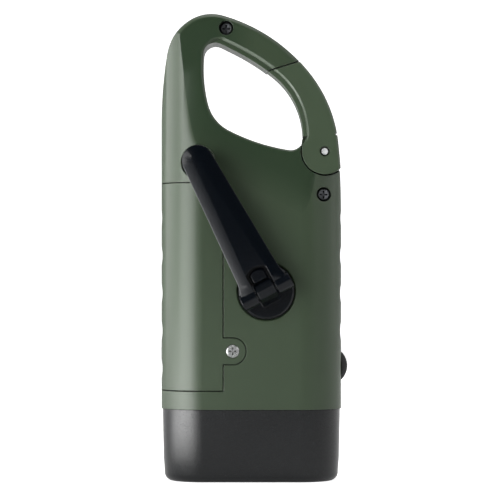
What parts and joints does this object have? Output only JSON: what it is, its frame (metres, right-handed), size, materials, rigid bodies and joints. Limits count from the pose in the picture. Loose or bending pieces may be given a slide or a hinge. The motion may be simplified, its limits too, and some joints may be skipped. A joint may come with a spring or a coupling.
{
  "type": "hand crank flashlight",
  "caption": "Palm-sized flashlight with a rounded body, a folding crank on its back and a carabiner loop with a sprung gate on top.",
  "frame": {"origin": "middle of the lamp rim's flat face, mid width and mid depth of the housing", "axes": "+Z from the lamp to the carabiner loop, -Y out of the crank side, +X to the right of that side"},
  "size_m": [0.0568, 0.0411, 0.1413],
  "materials": {
    "green_plastic": "fine satin moulding texture",
    "black_plastic": "fine satin moulding texture",
    "black_rubber": "smooth matte",
    "bright_steel": "bright plated",
    "dark_steel": "dark plated",
    "spring_steel": "plated",
    "gear_plastic": "self-coloured acetal",
    "inner_plastic": "as moulded",
    "copper": "enamelled winding",
    "brass": "machined",
    "magnet": "plain dark",
    "cell_sleeve": "shrink sleeve over metal",
    "circuit_board": "solder mask",
    "clear_plastic": "clear polycarbonate",
    "bright_reflector": "vacuum metallised",
    "lamp_resin": "clear resin"
  },
  "bodies": {
    "housing": {"rear_shell": "green_plastic", "front_shell": "green_plastic", "battery_cover": "green_plastic", "battery_cover_screw": "bright_steel", "housing_screws": "dark_steel", "gate_pin": "bright_steel", "gate_spring": "spring_steel", "gear_axles": "bright_steel", "gear_plate": "inner_plastic", "gear_plate_screws": "dark_steel", "stator_can": "spring_steel", "coil_bobbin": "inner_plastic", "coil_winding": "copper", "rechargeable_cell": "cell_sleeve", "cell_plate_contact": "spring_steel", "cell_spring_contact": "spring_steel", "main_board": "circuit_board", "board_screws": "dark_steel", "storage_capacitor": "cell_sleeve", "rectifier_diodes": "magnet", "control_chip": "magnet", "tact_switch": "magnet", "bezel": "black_plastic", "lens": "clear_plastic", "lens_gasket": "black_rubber", "reflector": "bright_reflector", "lamp_leds": "lamp_resin", "led_board": "circuit_board"},
    "crank_hub": {"crank_hub": "black_plastic", "drive_gear": "gear_plastic", "hub_screw": "dark_steel", "hinge_pin": "bright_steel"},
    "crank_arm": {"crank_arm": "black_plastic", "knob_screw": "dark_steel"},
    "crank_knob": {"crank_knob": "black_plastic"},
    "idler_one": {"idler_one": "gear_plastic"},
    "idler_two": {"idler_two": "gear_plastic"},
    "rotor": {"rotor_shaft": "bright_steel", "rotor_pinion": "brass", "rotor_magnet": "magnet"},
    "carabiner_gate": {"carabiner_gate": "green_plastic"},
    "power_button": {"power_button": "black_rubber"}
  },
  "joints": [
    {"name": "crank_spin", "type": "hinge", "parent": "housing", "child": "crank_hub", "pos_m": [0.0045, -0.016, 0.0576], "axis": [0, 1, 0], "continuous": true},
    {"name": "crank_fold", "type": "hinge", "parent": "crank_hub", "child": "crank_arm", "pos_m": [0.0045, -0.0225, 0.0576], "axis": [0.8846, 0, 0.4664], "range_deg": [0, 180]},
    {"name": "knob_spin", "type": "hinge", "parent": "crank_arm", "child": "crank_knob", "pos_m": [-0.01597, -0.018, 0.09643], "axis": [0, 1, 0], "continuous": true},
    {"name": "gate_swing", "type": "hinge", "parent": "housing", "child": "carabiner_gate", "pos_m": [0.0221, -0.008, 0.0997], "axis": [0, -1, 0], "range_deg": [0, 24], "stiffness_Nm_per_rad": 0.05, "springref_deg": -28.65},
    {"name": "button_press", "type": "slide", "parent": "housing", "child": "power_button", "axis": [-1, 0, 0], "range_m": [0, 0.001], "stiffness_N_per_m": 400, "springref_m": -0.001},
    {"name": "idler_one_spin", "type": "hinge", "parent": "housing", "child": "idler_one", "pos_m": [0.0085, -0.01, 0.07102], "axis": [0, 1, 0], "continuous": true},
    {"name": "idler_two_spin", "type": "hinge", "parent": "housing", "child": "idler_two", "pos_m": [0.01651, -0.009, 0.06141], "axis": [0, 1, 0], "continuous": true},
    {"name": "rotor_spin", "type": "hinge", "parent": "housing", "child": "rotor", "pos_m": [0.01252, -0.004, 0.05334], "axis": [0, 1, 0], "continuous": true}
  ],
  "couplings": [
    {"joint": "idler_one_spin", "follows": "crank_spin", "ratio": -3.6667},
    {"joint": "idler_two_spin", "follows": "crank_spin", "ratio": 11.611},
    {"joint": "rotor_spin", "follows": "crank_spin", "ratio": -30.189}
  ]
}
